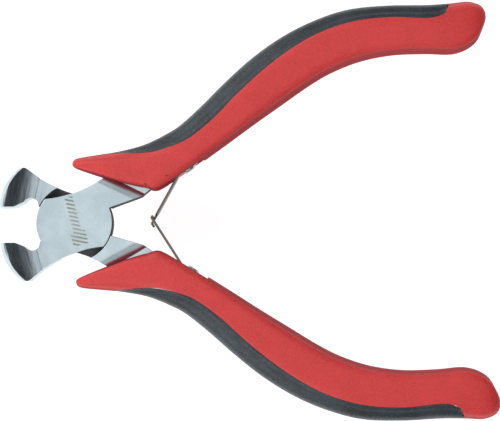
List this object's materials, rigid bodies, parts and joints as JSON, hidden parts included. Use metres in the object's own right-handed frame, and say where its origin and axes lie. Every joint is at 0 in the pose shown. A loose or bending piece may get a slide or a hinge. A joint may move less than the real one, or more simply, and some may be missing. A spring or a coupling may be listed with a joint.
{
  "type": "flush cutter",
  "caption": "Mini end cutting nipper with flush edges across the nose, two-colour moulded grips and hooked leaf springs that open it.",
  "frame": {"origin": "on the rivet's axis at the joint's back face", "axes": "+X from the rivet towards the handles, along the tool's middle; +Y towards the upper handle; +Z along the rivet to the front face"},
  "size_m": [0.1066, 0.0908, 0.0124],
  "materials": {
    "forged_steel": "satin, fine brushing",
    "rivet_steel": "ground flush",
    "grip_plastic": "satin red moulded plastic",
    "insert_rubber": "soft satin grey",
    "spring_steel": "satin"
  },
  "bodies": {
    "front_side": {"front_half": "forged_steel", "pivot_rivet": "rivet_steel", "upper_grip_body": "grip_plastic", "upper_grip_insert": "insert_rubber", "upper_spring_foot": "spring_steel", "upper_spring_rivet": "spring_steel"},
    "back_side": {"back_half": "forged_steel", "lower_grip_body": "grip_plastic", "lower_grip_insert": "insert_rubber", "lower_spring_foot": "spring_steel", "lower_spring_rivet": "spring_steel"},
    "upper_arm": {"upper_spring_arm": "spring_steel"},
    "lower_arm": {"lower_spring_arm": "spring_steel"}
  },
  "joints": [
    {"name": "pivot", "type": "hinge", "parent": "front_side", "child": "back_side", "pos_m": [0, 0, 0.0035], "axis": [0, 0, 1], "range_deg": [0, 26.8], "stiffness_Nm_per_rad": 0.4, "springref_deg": -20.05},
    {"name": "upper_spring_bend", "type": "hinge", "parent": "front_side", "child": "upper_arm", "pos_m": [0.02285, 0.0098, 0.0035], "axis": [0, 0, 1], "range_deg": [-22.7, 0]},
    {"name": "lower_spring_bend", "type": "hinge", "parent": "back_side", "child": "lower_arm", "pos_m": [0.02285, -0.0098, 0.0035], "axis": [0, 0, 1], "range_deg": [0, 22.7]}
  ],
  "couplings": [
    {"joint": "upper_spring_bend", "follows": "pivot", "ratio": -0.8468},
    {"joint": "lower_spring_bend", "follows": "pivot", "ratio": 0.8468}
  ]
}
